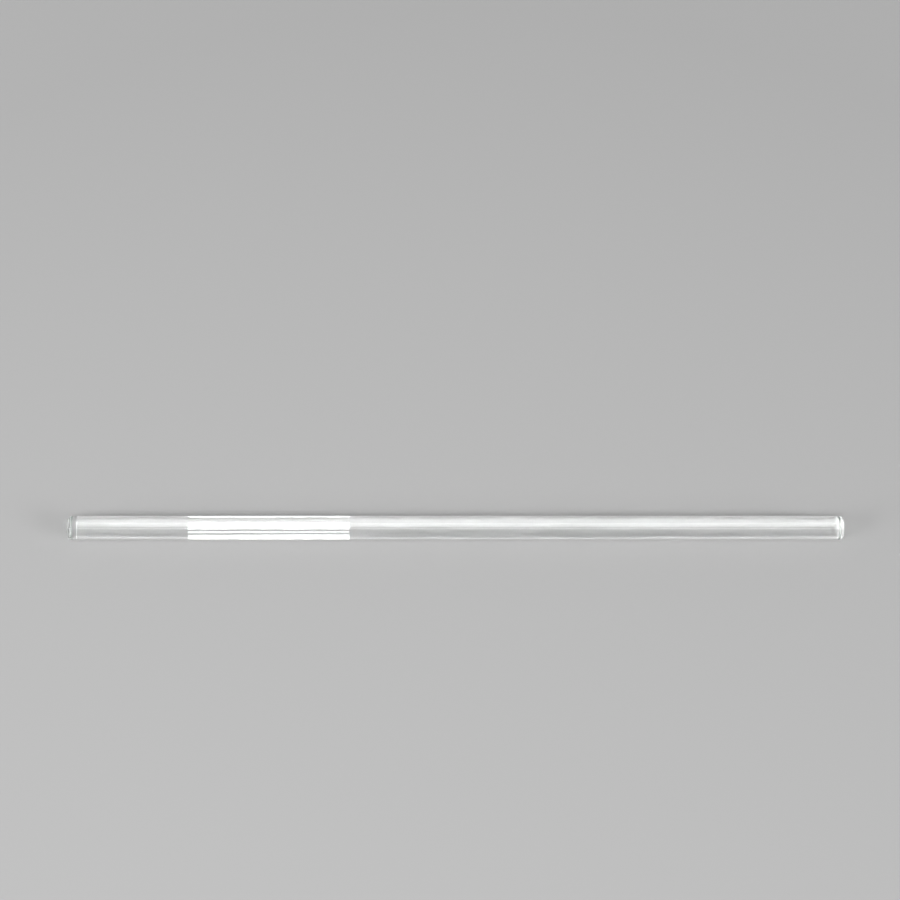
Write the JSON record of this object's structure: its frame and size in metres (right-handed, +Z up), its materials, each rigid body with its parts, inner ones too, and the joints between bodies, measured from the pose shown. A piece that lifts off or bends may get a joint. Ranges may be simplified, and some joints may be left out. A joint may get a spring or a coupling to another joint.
{
  "type": "glass stirring rod",
  "caption": "Solid round glass rod with fire-polished, gently domed ends, for stirring liquids by hand or held in a clamp.",
  "frame": {"origin": "on the rod's axis at mid-length", "axes": "+X along the rod, +Z up as it lies in the picture"},
  "size_m": [0.5, 0.015, 0.015],
  "materials": {
    "clear_glass": "clear, drawn and fire-polished"
  },
  "bodies": {
    "root": {"rod": "clear_glass"}
  },
  "joints": []
}
